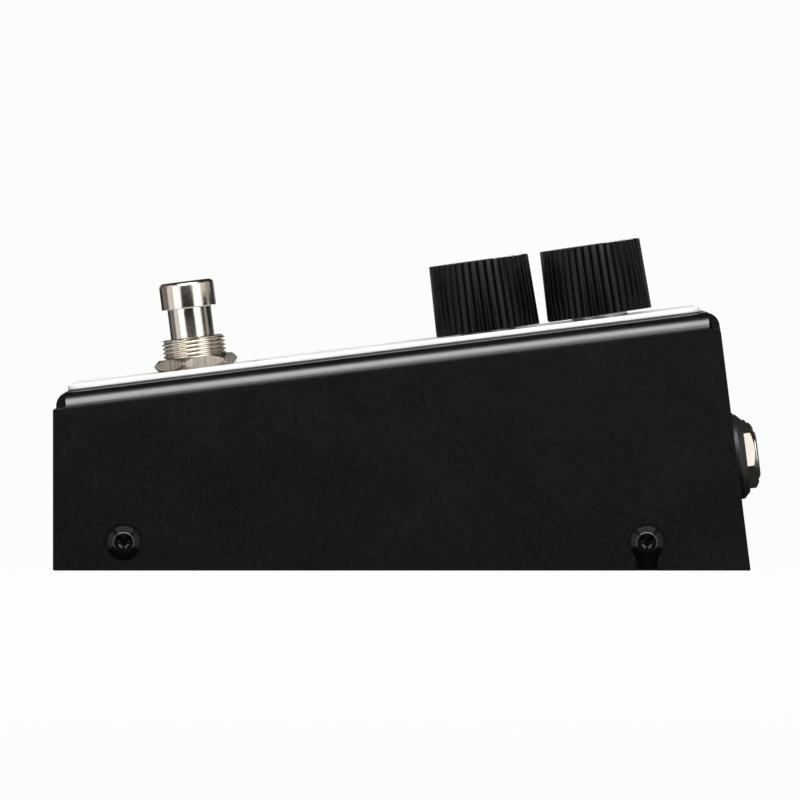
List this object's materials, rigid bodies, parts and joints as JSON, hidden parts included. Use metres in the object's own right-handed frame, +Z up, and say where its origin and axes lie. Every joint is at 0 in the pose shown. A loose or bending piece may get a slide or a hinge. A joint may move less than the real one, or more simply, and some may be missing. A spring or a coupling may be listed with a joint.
{
  "type": "guitar effects pedal",
  "caption": "Wedge-shaped steel stompbox with a latching footswitch, ribbed control knobs on a white face plate, and audio and power jacks on the rear wall.",
  "frame": {"origin": "centre of the base pan's underside, midway between the side walls and between the front and rear edges of the case", "axes": "+Z up, +Y towards the rear wall with the jacks, +X towards the side of the input jack"},
  "size_m": [0.0952, 0.1332, 0.0625],
  "materials": {
    "powder_coat": "black powder coat, fine texture, semi-gloss",
    "screw_black": "black-oxidised steel, glossy",
    "plate_white": "white satin face with a red printed mark at the footswitch",
    "adhesive_film": "dark adhesive film",
    "nickel": "nickel plate, bright, slightly warm",
    "steel": "zinc-plated steel, satin",
    "knob_black": "moulded black plastic, ribbed side",
    "pointer_white": "white inlay",
    "moulded_black": "glass-filled black nylon",
    "brass_contact": "tinned brass and spring bronze",
    "board_green": "green solder mask over glass laminate",
    "phenolic_brown": "brown paper laminate",
    "chip_black": "moulded epoxy",
    "capacitor_sleeve": "shrink sleeve over an aluminium can",
    "film_box": "moulded box",
    "resistor_lacquer": "lacquered ceramic",
    "led_red": "tinted clear epoxy",
    "ribbon_grey": "grey cable insulation",
    "wire_insulation": "soft coloured insulation"
  },
  "bodies": {
    "case": {"top_cover": "powder_coat", "base_pan": "powder_coat", "cover_screws": "screw_black", "face_plate": "plate_white", "plate_adhesive": "adhesive_film", "footswitch_bushing": "nickel", "footswitch_housing": "moulded_black", "footswitch_base": "phenolic_brown", "footswitch_spring": "steel", "footswitch_terminals": "brass_contact", "footswitch_nut": "nickel", "footswitch_inner_nut": "nickel", "footswitch_lock_washer": "steel", "pot_washers": "steel", "pot_nuts": "steel", "pot_terminals": "brass_contact", "led_bezel": "nickel", "led_lens": "led_red", "led_leads": "steel", "main_board": "board_green", "audio_chips": "chip_black", "electrolytic_capacitors": "capacitor_sleeve", "film_capacitors": "film_box", "resistors": "resistor_lacquer", "cable_header": "moulded_black", "ribbon_cable": "ribbon_grey", "input_jack_bushing": "nickel", "output_jack_bushing": "nickel", "input_jack_body": "moulded_black", "output_jack_body": "moulded_black", "input_jack_contacts": "brass_contact", "output_jack_contacts": "brass_contact", "jack_washers": "moulded_black", "jack_nuts": "nickel", "power_jack_body": "moulded_black", "power_jack_pin": "nickel", "power_jack_nut": "steel", "power_jack_terminals": "brass_contact", "jack_wires": "wire_insulation", "power_wires": "wire_insulation", "pot_body_1": "steel", "pot_body_2": "steel", "pot_body_3": "steel", "pot_body_4": "steel"},
    "footswitch_button": {"footswitch_plunger": "nickel", "footswitch_actuator": "moulded_black"},
    "control_1": {"knob_1": "knob_black", "knob_pointer_1": "pointer_white", "pot_shaft_1": "brass_contact"},
    "control_2": {"knob_2": "knob_black", "knob_pointer_2": "pointer_white", "pot_shaft_2": "brass_contact"},
    "control_3": {"knob_3": "knob_black", "knob_pointer_3": "pointer_white", "pot_shaft_3": "brass_contact"},
    "control_4": {"knob_4": "knob_black", "knob_pointer_4": "pointer_white", "pot_shaft_4": "brass_contact"}
  },
  "joints": [
    {"name": "footswitch_press", "type": "slide", "parent": "case", "child": "footswitch_button", "axis": [0, -0.1236, 0.9923], "range_m": [-0.003, 0], "stiffness_N_per_m": 2000, "springref_m": 0.003, "deforming": ["footswitch_spring"]},
    {"name": "knob_1_turn", "type": "hinge", "parent": "case", "child": "control_1", "pos_m": [-0.0185, 0.01637, 0.04466], "axis": [0, -0.1236, 0.9923], "range_deg": [-150, 150]},
    {"name": "knob_2_turn", "type": "hinge", "parent": "case", "child": "control_2", "pos_m": [0.0185, 0.01637, 0.04466], "axis": [0, -0.1236, 0.9923], "range_deg": [-150, 150]},
    {"name": "knob_3_turn", "type": "hinge", "parent": "case", "child": "control_3", "pos_m": [-0.0185, 0.0376, 0.0473], "axis": [0, -0.1236, 0.9923], "range_deg": [-150, 150]},
    {"name": "knob_4_turn", "type": "hinge", "parent": "case", "child": "control_4", "pos_m": [0.0185, 0.0376, 0.0473], "axis": [0, -0.1236, 0.9923], "range_deg": [-150, 150]}
  ]
}
